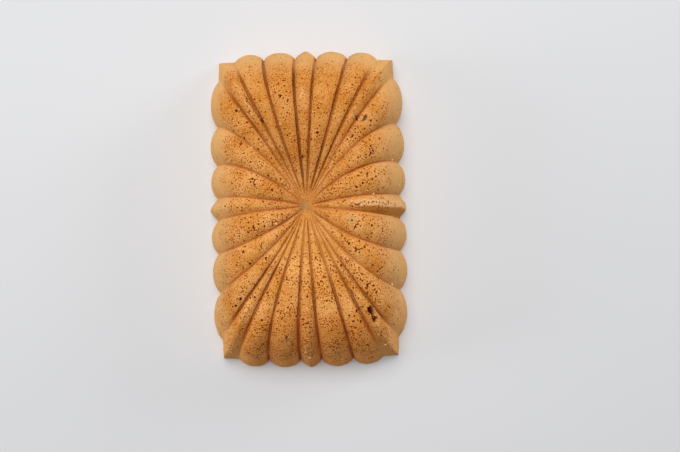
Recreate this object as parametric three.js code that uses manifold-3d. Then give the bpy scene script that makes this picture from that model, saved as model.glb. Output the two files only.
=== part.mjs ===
// Fluted loaf cake, turned out of its tin: flutes run up the walls and meet in a dimple on the top.
// Millimetres, +Z up, long side along Y, flat base on Z = 0.
import * as THREE from 'three';
import Module from 'manifold-3d';

// Body, measured in the grooves between the flutes
const HALF_WIDTH = 59.3;
const HALF_LENGTH = 100.5;
const SIDE_BOW = 2.3;
const RING_HEIGHT = 55.0;
const DIMPLE_DEPTH = 17.0;

// Profile: the wall rounds over to a high ring, then the top sinks to the dimple; the ring's place is a share
// of the way out, a little larger at the ends and corners of the cake than at its sides
const SIDE_RING = 0.48;
const END_RING = 0.55;
const CORNER_RING = 0.58;
const WALL_ROUNDING = 2.2;
const SHOULDER_ROUNDING = 1.15;
const DIMPLE_CONE_SHARE = 0.5;
const DIMPLE_FLOOR_SHARE = 0.07;

// Half length gained for each millimetre of half width, at the centre and at the rim
const LENGTH_RATE_CENTRE = 2.0;
const LENGTH_RATE_RIM = 1.63;

// Grooves as shares of the half side at the rim and at the centre, from the middle rib out to the corner rib
const LONG_GROOVES = [
  { rim: 0.077, centre: 0.086 },
  { rim: 0.298, centre: 0.468 },
  { rim: 0.562, centre: 0.750 },
  { rim: 0.877, centre: 0.925 },
];
const SHORT_GROOVES = [
  { rim: 0.122, centre: 0.163 },
  { rim: 0.482, centre: 0.662 },
  { rim: 0.823, centre: 0.920 },
];
const CORNER = { rim: 1, centre: 1 };

// Height of the flutes over their half width, and the depth that round flutes keep on the wall
const LOBE_RISE = 0.54;
const LOBE_DEPTH_LIMIT = 5.3;
const LIMIT_SHARPNESS = 4;
const RIB_RISE = 0.75;
const CORNER_RISE = 0.85;
const RIB_CURVE = 0.35;
const FOOT_HEIGHT = 12;
const FADE_START = 0.03;
const FADE_END = 0.13;

// The corner ribs are sharp at the foot and rounded over this share of their width on the top
const CORNER_ROUNDING = 0.75;
const CORNER_SHARP_SHARE = 0.985;
const CORNER_ROUND_SHARE = 0.86;

// Torn places in the crust: x, y, radii along x, y, z and turn about Z in degrees
const TEARS = [
  { x: 39.0, y: -64.8, radii: [1.8, 2.9, 4.2], turn: 10 },
  { x: 41.2, y: -70.5, radii: [2.0, 2.2, 4.8], turn: 25 },
  { x: 37.7, y: 51.9, radii: [1.3, 2.3, 2.6], turn: -30 },
];

// Mesh steps
const LOBE_STEPS = 8;
const RIB_STEPS = 4;
const CORNER_STEPS = 6;
const WALL_ROWS = 14;
const TOP_ROWS = 13;
const LAST_ROW_SHARE = 0.1;
const PIT_COLUMNS = 10;
const PIT_ROWS = 5;

// Small difference of level for slopes
const SMALL_STEP = 1e-3;

const CRUST_COLOUR = 0xd39447;
const CRUST_ROUGHNESS = 0.9;

const SIDES = ['right', 'back', 'left', 'front'];
const LONG_SIDES = new Set(['right', 'left']);

function smoothStep(value, start, end) {
  const share = THREE.MathUtils.clamp((value - start) / (end - start), 0, 1);
  return share * share * (3 - 2 * share);
}

// Half length of the level whose half width is the given share of the base
function halfLength(share) {
  const cube = share ** 3;
  const square = share ** 2;
  const centreTerm = (cube - 2 * square + share) * LENGTH_RATE_CENTRE * HALF_WIDTH;
  const rimTerm = (cube - square) * LENGTH_RATE_RIM * HALF_WIDTH;
  return centreTerm + rimTerm + (3 * square - 2 * cube) * HALF_LENGTH;
}

// How far the top has sunk, with the radius as a share of the high ring: round at the ring, then a cone
function sunkDepth(radius) {
  const floor = DIMPLE_FLOOR_SHARE;
  const cone = DIMPLE_CONE_SHARE;
  const eased = radius < floor ? (radius ** 2 / floor + floor) / 2 : radius;
  if (eased > cone) {
    return (1 - eased) ** 2 / (2 * (1 - cone));
  }
  return (1 - cone) / 2 + cone - eased;
}

// One level of the body: step 0 is the base, 1 about the high ring, 2 the centre of the dimple
function levelAt(step) {
  let share = CORNER_RING * (2 - step);
  if (step <= 1) {
    share = CORNER_RING + (1 - CORNER_RING) * Math.cos(step * Math.PI / 2) ** (2 / WALL_ROUNDING);
  }
  return { width: share * HALF_WIDTH, length: halfLength(share), share };
}

// Height of the body at a share of the way out, with the high ring at a given share
function heightAt(share, ring) {
  if (share > ring) {
    const outward = (share - ring) / (1 - ring);
    return RING_HEIGHT * Math.max(1 - outward ** WALL_ROUNDING, 0) ** (1 / SHOULDER_ROUNDING);
  }
  return RING_HEIGHT - DIMPLE_DEPTH * sunkDepth(share / ring) / sunkDepth(0);
}

// Turns a point given outward and along a side into the cake's frame
function turnToSide(side, outward, along, height) {
  const places = {
    right: [outward, along],
    back: [-along, outward],
    left: [-outward, -along],
    front: [along, -outward],
  };
  const [x, y] = places[side];
  return new THREE.Vector3(x, y, height);
}

// Place along a side, from -1 to 1, where a line at a level lies
function placeOnSide(groove, level) {
  return groove.rim * level.share + groove.centre * (1 - level.share);
}

// Height of the body under the flutes
function skinHeight(side, groove, level) {
  const ring = LONG_SIDES.has(side) ? SIDE_RING : END_RING;
  return heightAt(level.share, ring + (CORNER_RING - ring) * placeOnSide(groove, level) ** 2);
}

// Point of the body under the flutes
function skinPoint(side, groove, level) {
  const place = placeOnSide(groove, level);
  const isLong = LONG_SIDES.has(side);
  const reach = isLong ? level.width : level.length;
  const span = isLong ? level.length : level.width;
  const outward = reach + SIDE_BOW * (1 - place ** 2) * level.share;
  return turnToSide(side, outward, place * span, skinHeight(side, groove, level));
}

// The levels just below and just above a step
function levelsAround(step) {
  return [levelAt(Math.max(step - SMALL_STEP, 0)), levelAt(Math.min(step + SMALL_STEP, 2))];
}

// Direction in which the flutes stand out from the body, level at the foot
function skinNormal(side, groove, step) {
  const [before, after] = levelsAround(step);
  const key = LONG_SIDES.has(side) ? 'width' : 'length';
  const inward = before[key] - after[key];
  const climb = skinHeight(side, groove, after) - skinHeight(side, groove, before);
  const size = Math.hypot(inward, climb);
  const footShare = Math.min(1, skinHeight(side, groove, levelAt(step)) / FOOT_HEIGHT);
  return turnToSide(side, climb / size, 0, footShare * inward / size);
}

// Height across a round flute, for a half width of one
function roundSection(across, rise) {
  const radius = (1 + rise ** 2) / (2 * rise);
  return Math.sqrt(Math.max(radius ** 2 - across ** 2, 0)) - (radius - rise);
}

// Height across a pointed rib, for a half width of one
function pointedSection(across, rise) {
  const inward = 1 - Math.abs(across);
  return rise * (RIB_CURVE * Math.sin(inward * Math.PI / 2) + (1 - RIB_CURVE) * inward);
}

function mirrored(groove) {
  return { rim: -groove.rim, centre: -groove.centre };
}

function between(first, second, share) {
  return {
    rim: THREE.MathUtils.lerp(first.rim, second.rim, share),
    centre: THREE.MathUtils.lerp(first.centre, second.centre, share),
  };
}

// All flutes in order round the cake, each with its kind, its sides and its two grooves
function listFlutes() {
  const flutes = [];
  SIDES.forEach((side, index) => {
    const grooves = LONG_SIDES.has(side) ? LONG_GROOVES : SHORT_GROOVES;
    const nextSide = SIDES[(index + 1) % SIDES.length];
    const nextGrooves = LONG_SIDES.has(side) ? SHORT_GROOVES : LONG_GROOVES;
    const addFlute = (kind, lastSide, first, last) => flutes.push({ kind, side, lastSide, first, last });
    for (let i = grooves.length - 1; i > 0; i -= 1) {
      addFlute('lobe', side, mirrored(grooves[i]), mirrored(grooves[i - 1]));
    }
    addFlute('rib', side, mirrored(grooves[0]), grooves[0]);
    for (let i = 0; i < grooves.length - 1; i += 1) {
      addFlute('lobe', side, grooves[i], grooves[i + 1]);
    }
    addFlute('corner', nextSide, grooves.at(-1), mirrored(nextGrooves.at(-1)));
  });
  return flutes;
}

// Side and groove place of a point across a flute; a corner rib turns from one side to the next
function placeAcross(flute, across) {
  if (flute.kind !== 'corner') {
    return { side: flute.side, groove: between(flute.first, flute.last, (across + 1) / 2) };
  }
  if (across < 0) {
    return { side: flute.side, groove: between(flute.first, CORNER, across + 1) };
  }
  return { side: flute.lastSide, groove: between(mirrored(CORNER), flute.last, across) };
}

// Point of the body at a corner rib, with the corner rounded off higher up
function cornerPoint(flute, across, level) {
  const rounding = CORNER_ROUNDING * smoothStep(level.share, CORNER_SHARP_SHARE, CORNER_ROUND_SHARE);
  if (Math.abs(across) >= rounding) {
    const { side, groove } = placeAcross(flute, across);
    return skinPoint(side, groove, level);
  }
  const arc = new THREE.QuadraticBezierCurve3(
    skinPoint(flute.side, between(flute.first, CORNER, 1 - rounding), level),
    skinPoint(flute.side, CORNER, level),
    skinPoint(flute.lastSide, between(mirrored(CORNER), flute.last, rounding), level),
  );
  return arc.getPoint((across + rounding) / (2 * rounding));
}

// Half the width of a flute at one level, square to the way it runs
function fluteHalfWidth(flute, step) {
  const level = levelAt(step);
  const [before, after] = levelsAround(step);
  const middle = flute.kind === 'corner' ? CORNER : between(flute.first, flute.last, 0.5);
  const run = skinPoint(flute.side, middle, after).sub(skinPoint(flute.side, middle, before)).normalize();
  const chord = skinPoint(flute.lastSide, flute.last, level).sub(skinPoint(flute.side, flute.first, level));
  return chord.cross(run).length() / 2;
}

// How far the flute stands out from the body at one point
function fluteHeight(flute, across, halfWidth) {
  if (flute.kind === 'rib') {
    return pointedSection(across, RIB_RISE) * halfWidth;
  }
  if (flute.kind === 'corner') {
    return pointedSection(across, CORNER_RISE) * halfWidth;
  }
  const full = LOBE_RISE * halfWidth;
  const limit = LOBE_DEPTH_LIMIT ** -LIMIT_SHARPNESS;
  const limited = (full ** -LIMIT_SHARPNESS + limit) ** (-1 / LIMIT_SHARPNESS);
  return roundSection(across, LOBE_RISE) / LOBE_RISE * limited;
}

function surfacePoint(flute, across, step) {
  const level = levelAt(step);
  const { side, groove } = placeAcross(flute, across);
  const normal = skinNormal(side, groove, step);
  const fade = smoothStep(level.share, FADE_START, FADE_END);
  const height = fade * fluteHeight(flute, across, fluteHalfWidth(flute, step));
  if (flute.kind === 'corner') {
    normal.set(0, 0, Math.max(normal.z, 0));
    return cornerPoint(flute, across, level).addScaledVector(normal, height);
  }
  return skinPoint(side, groove, level).addScaledVector(normal, height);
}

// Levels of the mesh rows from the base to the last row round the centre
function rowSteps() {
  const steps = [];
  for (let row = 0; row <= WALL_ROWS; row += 1) {
    steps.push(row / WALL_ROWS);
  }
  for (let row = 1; row <= TOP_ROWS; row += 1) {
    steps.push(1 + (1 - LAST_ROW_SHARE) * row / TOP_ROWS);
  }
  return steps;
}

// Closed body: one column of points for each place round the cake, a fan at the centre and one under the base
function makeBody() {
  const stepsAcross = { lobe: LOBE_STEPS, rib: RIB_STEPS, corner: CORNER_STEPS };
  const steps = rowSteps();
  const positions = [];
  let columns = 0;
  for (const flute of listFlutes()) {
    const count = stepsAcross[flute.kind];
    for (let i = 0; i < count; i += 1) {
      const across = -1 + 2 * i / count;
      for (const step of steps) {
        positions.push(...surfacePoint(flute, across, step).toArray());
      }
      columns += 1;
    }
  }
  const rows = steps.length;
  const centre = columns * rows;
  const foot = centre + 1;
  positions.push(0, 0, heightAt(0, CORNER_RING));
  positions.push(0, 0, 0);
  const triangles = [];
  for (let column = 0; column < columns; column += 1) {
    const here = column * rows;
    const next = ((column + 1) % columns) * rows;
    for (let row = 0; row < rows - 1; row += 1) {
      triangles.push(here + row, next + row, next + row + 1);
      triangles.push(here + row, next + row + 1, here + row + 1);
    }
    triangles.push(here + rows - 1, next + rows - 1, centre);
    triangles.push(next, here, foot);
  }
  return { positions, triangles };
}

// Faceted ball of radius one
function makeBall() {
  const positions = [0, 0, 1];
  for (let row = 1; row <= PIT_ROWS; row += 1) {
    const polar = Math.PI * row / (PIT_ROWS + 1);
    for (let column = 0; column < PIT_COLUMNS; column += 1) {
      const angle = 2 * Math.PI * column / PIT_COLUMNS;
      positions.push(Math.sin(polar) * Math.cos(angle), Math.sin(polar) * Math.sin(angle), Math.cos(polar));
    }
  }
  positions.push(0, 0, -1);
  const triangles = [];
  const lastRing = 1 + (PIT_ROWS - 1) * PIT_COLUMNS;
  const last = lastRing + PIT_COLUMNS;
  for (let column = 0; column < PIT_COLUMNS; column += 1) {
    const next = (column + 1) % PIT_COLUMNS;
    triangles.push(0, 1 + column, 1 + next);
    for (let row = 0; row < PIT_ROWS - 1; row += 1) {
      const upper = 1 + row * PIT_COLUMNS;
      const lower = upper + PIT_COLUMNS;
      triangles.push(upper + column, lower + column, lower + next);
      triangles.push(upper + column, lower + next, upper + next);
    }
    triangles.push(lastRing + column, last, lastRing + next);
  }
  return { positions, triangles };
}

// Stretched ball that takes a torn place out of the crust
function makePit({ x, y, radii, turn }, height) {
  const ball = makeBall();
  const placing = new THREE.Matrix4().compose(
    new THREE.Vector3(x, y, height),
    new THREE.Quaternion().setFromAxisAngle(new THREE.Vector3(0, 0, 1), THREE.MathUtils.degToRad(turn)),
    new THREE.Vector3(...radii),
  );
  const placed = new THREE.Float32BufferAttribute(ball.positions, 3).applyMatrix4(placing);
  return { positions: placed.array, triangles: ball.triangles };
}

// Height of the crust straight above a place, read from the body's mesh
function crustHeight(body, x, y) {
  const geometry = toGeometry(body.positions, body.triangles);
  const mesh = new THREE.Mesh(geometry, new THREE.MeshBasicMaterial({ side: THREE.DoubleSide }));
  const highAbove = new THREE.Vector3(x, y, 2 * RING_HEIGHT);
  const caster = new THREE.Raycaster(highAbove, new THREE.Vector3(0, 0, -1));
  return caster.intersectObject(mesh)[0].point.z;
}

function toGeometry(positions, triangles) {
  const geometry = new THREE.BufferGeometry();
  geometry.setAttribute('position', new THREE.Float32BufferAttribute(positions, 3));
  geometry.setIndex([...triangles]);
  geometry.computeVertexNormals();
  return geometry;
}

function makeCake(wasm) {
  const toSolid = ({ positions, triangles }) => new wasm.Manifold(new wasm.Mesh({
    numProp: 3,
    vertProperties: new Float32Array(positions),
    triVerts: new Uint32Array(triangles),
  }));
  const body = makeBody();
  let solid = toSolid(body);
  for (const tear of TEARS) {
    solid = solid.subtract(toSolid(makePit(tear, crustHeight(body, tear.x, tear.y))));
  }
  const { vertProperties, triVerts } = solid.getMesh();
  const material = new THREE.MeshStandardMaterial({ color: CRUST_COLOUR, roughness: CRUST_ROUGHNESS, metalness: 0 });
  const cake = new THREE.Mesh(toGeometry(vertProperties, triVerts), material);
  cake.name = 'cake';
  return cake;
}

const wasm = await Module();
wasm.setup();
const part = new THREE.Group();
part.name = 'fluted_loaf_cake';
part.add(makeCake(wasm));

export default part;
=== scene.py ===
import itertools
import math
from collections import namedtuple

import bmesh
import bpy
import numpy as np
from mathutils import Matrix, Vector


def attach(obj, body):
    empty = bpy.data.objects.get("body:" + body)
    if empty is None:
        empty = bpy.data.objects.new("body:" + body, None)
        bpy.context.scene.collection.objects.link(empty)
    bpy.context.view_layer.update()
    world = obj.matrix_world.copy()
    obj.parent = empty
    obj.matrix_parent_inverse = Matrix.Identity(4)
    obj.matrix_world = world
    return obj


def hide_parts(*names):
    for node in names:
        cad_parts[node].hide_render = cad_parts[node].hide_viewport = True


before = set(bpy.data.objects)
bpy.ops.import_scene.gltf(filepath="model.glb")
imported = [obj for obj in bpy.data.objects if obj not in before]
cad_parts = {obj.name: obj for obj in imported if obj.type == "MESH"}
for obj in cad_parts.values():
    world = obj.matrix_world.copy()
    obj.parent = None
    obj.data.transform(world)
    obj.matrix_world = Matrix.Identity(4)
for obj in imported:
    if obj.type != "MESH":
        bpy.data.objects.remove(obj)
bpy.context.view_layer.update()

# The cake's form is worked out in millimetres, and the meshes are in metres
METRES = 0.001
TINY = 1e-9

# The value at which something is 0 and the one at which it is 1, with a smooth change between them
Ramp = namedtuple("Ramp", "start end")

# Smooth random heights: size of the grains, greatest height and seed
Field = namedtuple("Field", "size height seed")
SEED = 28
LATTICE = 64

# A round place on the top
Place = namedtuple("Place", "x y radius")

# Body, measured in the grooves between the flutes
HALF_WIDTH = 59.3
HALF_LENGTH = 100.5
SIDE_BOW = 2.3
RING_HEIGHT = 55.0
DIMPLE_DEPTH = 17.0

# Profile: the wall rounds over to a high ring, at a share of the way out, and the top sinks to the dimple
SIDE_RING = 0.48
END_RING = 0.55
CORNER_RING = 0.58
WALL_ROUNDING = 2.2
SHOULDER_ROUNDING = 1.15
DIMPLE_CONE_SHARE = 0.5
DIMPLE_FLOOR_SHARE = 0.07

# Half length gained for each millimetre of half width, at the centre and at the rim
LENGTH_RATE_CENTRE = 2.0
LENGTH_RATE_RIM = 1.63

# Grooves as shares of the half side at the rim and at the centre, from the middle rib out to the corner rib
Groove = namedtuple("Groove", "rim centre")
LONG_GROOVES = [Groove(0.077, 0.086), Groove(0.298, 0.468), Groove(0.562, 0.750), Groove(0.877, 0.925)]
SHORT_GROOVES = [Groove(0.122, 0.163), Groove(0.482, 0.662), Groove(0.823, 0.920)]
CORNER = Groove(1.0, 1.0)

# Height of the flutes over their half width; wide round flutes stay under a limit
LOBE_RISE = 0.54
LOBE_DEPTH_LIMIT = 5.3
LIMIT_SHARPNESS = 4
RIB_RISE = 0.75
CORNER_RISE = 0.85
RIB_CURVE = 0.35

# The flutes point straight outwards at the foot, and rise from nothing near the centre
FOOT_HEIGHT = 12.0
FLUTES_BEGIN = Ramp(0.03, 0.13)

# The corner ribs are sharp at the foot and rounded over this share of their width on the top
CORNER_ROUNDING = 0.75
CORNER_ROUNDS = Ramp(0.985, 0.86)

# Fine mesh, before it is thinned out
LOBE_COLUMNS = 68
RIB_COLUMNS = 36
FINE_SPACING = 0.36
COARSE_SPACING = 0.8
COARSE_BELOW = 26.0
BASE_ROWS = 70
LAST_ROW_SHARE = 0.01
TRIAL_ROWS = 4000
CAKE_TRIANGLES = 190000
SHARP_ANGLE = 55

SMALL_STEP = 1e-3

# Directions in which the sides face
FACING = {"right": (1, 0), "back": (0, 1), "left": (-1, 0), "front": (0, -1)}
SIDES = list(FACING)
LONG_SIDES = ("right", "left")

Levels = namedtuple("Levels", "width length share")
Flute = namedtuple("Flute", "kind side next_side first last")
Line = namedtuple("Line", "points across half_width kind crease")


def smooth_step(value, ramp):
    share = np.clip((value - ramp.start) / (ramp.end - ramp.start), 0, 1)
    return share * share * (3 - 2 * share)


def random_field(points, field):
    """Smooth random heights at points in space."""
    table = np.random.default_rng(field.seed).uniform(-1, 1, (LATTICE, LATTICE, LATTICE))
    scaled = points / field.size
    cell = np.floor(scaled).astype(np.int64)
    part = scaled - cell
    part = part * part * (3 - 2 * part)
    total = np.zeros(points.shape[:-1])
    for corner in itertools.product((0, 1), repeat=3):
        weight = np.ones(points.shape[:-1])
        for axis in range(3):
            weight *= part[..., axis] if corner[axis] else 1 - part[..., axis]
        x, y, z = np.moveaxis((cell + corner) % LATTICE, -1, 0)
        total += weight * table[x, y, z]
    return field.height * total


def layered_fields(points, fields):
    return sum(random_field(points, field) for field in fields)


# The form under the crust's detail


def half_length(share):
    """Half length of the level whose half width is the given share of the base."""
    cube = share ** 3
    square = share ** 2
    centre_term = (cube - 2 * square + share) * LENGTH_RATE_CENTRE * HALF_WIDTH
    rim_term = (cube - square) * LENGTH_RATE_RIM * HALF_WIDTH
    return centre_term + rim_term + (3 * square - 2 * cube) * HALF_LENGTH


def sunk_depth(radius):
    """How far the top has sunk, with the radius as a share of the high ring."""
    floor = DIMPLE_FLOOR_SHARE
    cone = DIMPLE_CONE_SHARE
    eased = np.where(radius < floor, (radius ** 2 / floor + floor) / 2, radius)
    round_part = (1 - eased) ** 2 / (2 * (1 - cone))
    cone_part = (1 - cone) / 2 + cone - eased
    return np.where(eased > cone, round_part, cone_part)


def levels_at(steps):
    """Levels of the body: step 0 is the base, 1 about the high ring, 2 the centre of the dimple."""
    angle = np.clip(steps, 0, 1) * np.pi / 2
    wall_share = CORNER_RING + (1 - CORNER_RING) * np.cos(angle) ** (2 / WALL_ROUNDING)
    share = np.where(steps <= 1, wall_share, CORNER_RING * (2 - steps))
    return Levels(share * HALF_WIDTH, half_length(share), share)


def levels_around(steps):
    """Levels a small step before and after the given ones."""
    before = levels_at(np.maximum(steps - SMALL_STEP, 0))
    after = levels_at(np.minimum(steps + SMALL_STEP, 2))
    return before, after


def height_at(share, ring):
    """Height of the body at a share of the way out, with the high ring at a given share."""
    outward = np.clip((share - ring) / (1 - ring), 0, 1)
    wall_height = (1 - outward ** WALL_ROUNDING) ** (1 / SHOULDER_ROUNDING)
    sunk = sunk_depth(np.clip(share / ring, 0, 1)) / sunk_depth(0.0)
    return np.where(share > ring, RING_HEIGHT * wall_height, RING_HEIGHT - DIMPLE_DEPTH * sunk)


def turn_to_side(side, outward, along):
    """x and y of a place given outward and along one side."""
    x, y = FACING[side]
    return x * outward - y * along, y * outward + x * along


def place_on_side(groove, share):
    """Place along a side, from -1 to 1, where a line at a level lies."""
    return groove.rim * share + groove.centre * (1 - share)


def skin_height(side, groove, levels):
    """Height of the body under the flutes."""
    ring = SIDE_RING if side in LONG_SIDES else END_RING
    return height_at(levels.share, ring + (CORNER_RING - ring) * place_on_side(groove, levels.share) ** 2)


def skin_points(side, groove, levels):
    """Points of the body under the flutes."""
    place = place_on_side(groove, levels.share)
    is_long = side in LONG_SIDES
    reach = levels.width if is_long else levels.length
    span = levels.length if is_long else levels.width
    outward = reach + SIDE_BOW * (1 - place ** 2) * levels.share
    x, y = turn_to_side(side, outward, place * span)
    return np.stack([x, y, skin_height(side, groove, levels)], axis=-1)


def skin_normals(side, groove, steps):
    """Directions in which the flutes stand out from the body, level at the foot."""
    before, after = levels_around(steps)
    inward = before.width - after.width if side in LONG_SIDES else before.length - after.length
    climb = skin_height(side, groove, after) - skin_height(side, groove, before)
    size = np.hypot(inward, climb)
    foot_share = np.minimum(1, skin_height(side, groove, levels_at(steps)) / FOOT_HEIGHT)
    x, y = turn_to_side(side, climb / size, np.zeros_like(size))
    return np.stack([x, y, foot_share * inward / size], axis=-1)


def round_section(across, rise):
    """Height across a round flute, for a half width of one."""
    radius = (1 + rise ** 2) / (2 * rise)
    return np.sqrt(np.maximum(radius ** 2 - across ** 2, 0)) - (radius - rise)


def pointed_section(across, rise):
    """Height across a pointed rib, for a half width of one."""
    inward = 1 - np.abs(across)
    return rise * (RIB_CURVE * np.sin(inward * np.pi / 2) + (1 - RIB_CURVE) * inward)


def mirrored(groove):
    return Groove(-groove.rim, -groove.centre)


def between(first, second, share):
    return Groove(
        first.rim + (second.rim - first.rim) * share,
        first.centre + (second.centre - first.centre) * share,
    )


def list_flutes():
    """All flutes in order round the cake, each with its kind and its two grooves."""
    flutes = []
    for index, side in enumerate(SIDES):
        next_side = SIDES[(index + 1) % len(SIDES)]
        grooves = LONG_GROOVES if side in LONG_SIDES else SHORT_GROOVES
        next_grooves = SHORT_GROOVES if side in LONG_SIDES else LONG_GROOVES
        for inner, outer in reversed(list(zip(grooves, grooves[1:]))):
            flutes.append(Flute("lobe", side, side, mirrored(outer), mirrored(inner)))
        flutes.append(Flute("rib", side, side, mirrored(grooves[0]), grooves[0]))
        for inner, outer in zip(grooves, grooves[1:]):
            flutes.append(Flute("lobe", side, side, inner, outer))
        flutes.append(Flute("corner", side, next_side, grooves[-1], mirrored(next_grooves[-1])))
    return flutes


def place_across(flute, across):
    """Side and groove of a place across a flute; a corner rib turns from one side to the next."""
    if flute.kind != "corner":
        return flute.side, between(flute.first, flute.last, (across + 1) / 2)
    if across < 0:
        return flute.side, between(flute.first, CORNER, across + 1)
    return flute.next_side, between(mirrored(CORNER), flute.last, across)


def corner_points(flute, across, levels):
    """Points of the body at a corner rib, with the corner rounded off higher up."""
    side, groove = place_across(flute, across)
    sharp = skin_points(side, groove, levels)
    rounding = np.maximum(CORNER_ROUNDING * smooth_step(levels.share, CORNER_ROUNDS), TINY)
    before = skin_points(flute.side, between(flute.first, CORNER, 1 - rounding), levels)
    after = skin_points(flute.next_side, between(mirrored(CORNER), flute.last, rounding), levels)
    tip = skin_points(flute.side, CORNER, levels)
    share = np.clip((across + rounding) / (2 * rounding), 0, 1)[:, None]
    arc = (1 - share) ** 2 * before + 2 * share * (1 - share) * tip + share ** 2 * after
    return np.where((np.abs(across) < rounding)[:, None], arc, sharp)


def flute_half_width(flute, steps):
    """Half the width of a flute at each level, square to the way it runs."""
    levels = levels_at(steps)
    first = skin_points(flute.side, flute.first, levels)
    last = skin_points(flute.next_side, flute.last, levels)
    middle = CORNER if flute.kind == "corner" else between(flute.first, flute.last, 0.5)
    before, after = levels_around(steps)
    run = skin_points(flute.side, middle, after) - skin_points(flute.side, middle, before)
    run /= np.linalg.norm(run, axis=-1, keepdims=True)
    return np.linalg.norm(np.cross(last - first, run), axis=-1) / 2


def flute_height(flute, across, half_width):
    """How far the flute stands out from the body."""
    if flute.kind == "rib":
        return pointed_section(across, RIB_RISE) * half_width
    if flute.kind == "corner":
        return pointed_section(across, CORNER_RISE) * half_width
    full = LOBE_RISE * half_width
    limit = LOBE_DEPTH_LIMIT ** -LIMIT_SHARPNESS
    limited = (full ** -LIMIT_SHARPNESS + limit) ** (-1 / LIMIT_SHARPNESS)
    return round_section(across, LOBE_RISE) / LOBE_RISE * limited


def flute_column(flute, across, steps, half_width):
    """One line of points up a flute, from the base to the centre."""
    levels = levels_at(steps)
    side, groove = place_across(flute, across)
    normals = skin_normals(side, groove, steps)
    begun = smooth_step(levels.share, FLUTES_BEGIN)
    height = (begun * flute_height(flute, across, half_width))[:, None]
    if flute.kind == "corner":
        upright = np.maximum(normals, 0) * (0, 0, 1)
        return corner_points(flute, across, levels) + upright * height
    return skin_points(side, groove, levels) + normals * height


def row_steps():
    """Steps of the mesh rows, spaced evenly along the surface and wider low on the wall."""
    fine = np.linspace(0, 2 - LAST_ROW_SHARE, TRIAL_ROWS)
    levels = levels_at(fine)
    reach = (levels.width + levels.length) / 2
    height = height_at(levels.share, CORNER_RING)
    stretch = np.hypot(np.diff(reach), np.diff(height))
    low_wall = (height[1:] < COARSE_BELOW) & (fine[1:] < 1)
    rows = np.cumsum(stretch / np.where(low_wall, COARSE_SPACING, FINE_SPACING))
    rows = np.concatenate([[0], rows])
    return np.interp(np.arange(int(rows[-1]) + 1), rows, fine)


# Narrow crevices along the grooves: width to each side, depth, and how hollow their sides are
CREVICE_WIDTH = 1.0
CREVICE_DEPTH = 2.2
CREVICE_CURVE = 1.6

# They are shallower in patches, and narrower where the flutes' half width is less than full
CREVICE_PATCHES = Field(11.0, 0.5, SEED + 80)
USUAL_CREVICE = 0.7
LEAST_CREVICE = 0.3
FULL_CREASE_WIDTH = 3.0

# How deep they are on the top and down the wall, as shares of their depth
Crease = namedtuple("Crease", "top wall")
SIDE_CREASE = Crease(0.35, 0.0)
CORNER_CREASE = Crease(0.9, 0.0)
END_CREASE = Crease(1.0, 1.0)
DEEP_CREASE = Crease(1.6, 0.6)
CREASE_TOP = Ramp(0.92, 0.75)

# The least depth of all of them near the centre, and where they begin there
INNER_CREASE = 0.4
INNER_CREASES = Ramp(0.5, 0.25)
CREASES_BEGIN = Ramp(0.03, 0.1)


def groove_crease(flute, neighbour):
    """Crevice of the groove between two flutes; the one left of the back rib is the deepest."""
    if "corner" in (flute.kind, neighbour.kind):
        return CORNER_CREASE
    if flute.side == "back" and SHORT_GROOVES[0] in (flute.first, flute.last):
        shared = {flute.first, flute.last} & {neighbour.first, neighbour.last}
        return DEEP_CREASE if SHORT_GROOVES[0] in shared else END_CREASE
    return SIDE_CREASE if flute.side in LONG_SIDES else END_CREASE


def flute_lines(steps):
    """Lines of points up the cake, flute by flute round it."""
    flutes = list_flutes()
    lines = []
    for index, flute in enumerate(flutes):
        before = flutes[index - 1]
        after = flutes[(index + 1) % len(flutes)]
        half_width = flute_half_width(flute, steps)
        count = LOBE_COLUMNS if flute.kind == "lobe" else RIB_COLUMNS
        for across in np.linspace(-1, 1, count, endpoint=False):
            points = flute_column(flute, across, steps, half_width)
            crease = groove_crease(flute, before if across < 0 else after)
            lines.append(Line(points, across, half_width, flute.kind, crease))
    return lines


def grid_normals(points):
    round_way = np.roll(points, -1, axis=0) - np.roll(points, 1, axis=0)
    up_way = np.gradient(points, axis=1)
    normals = np.cross(round_way, up_way)
    return normals / np.maximum(np.linalg.norm(normals, axis=2, keepdims=True), TINY)


def with_base(side_values, base_value):
    """Values for the whole grid, from those of the sides and one for the base."""
    base = np.full((len(side_values), BASE_ROWS), base_value)
    return np.concatenate([base, side_values], axis=1)


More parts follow.
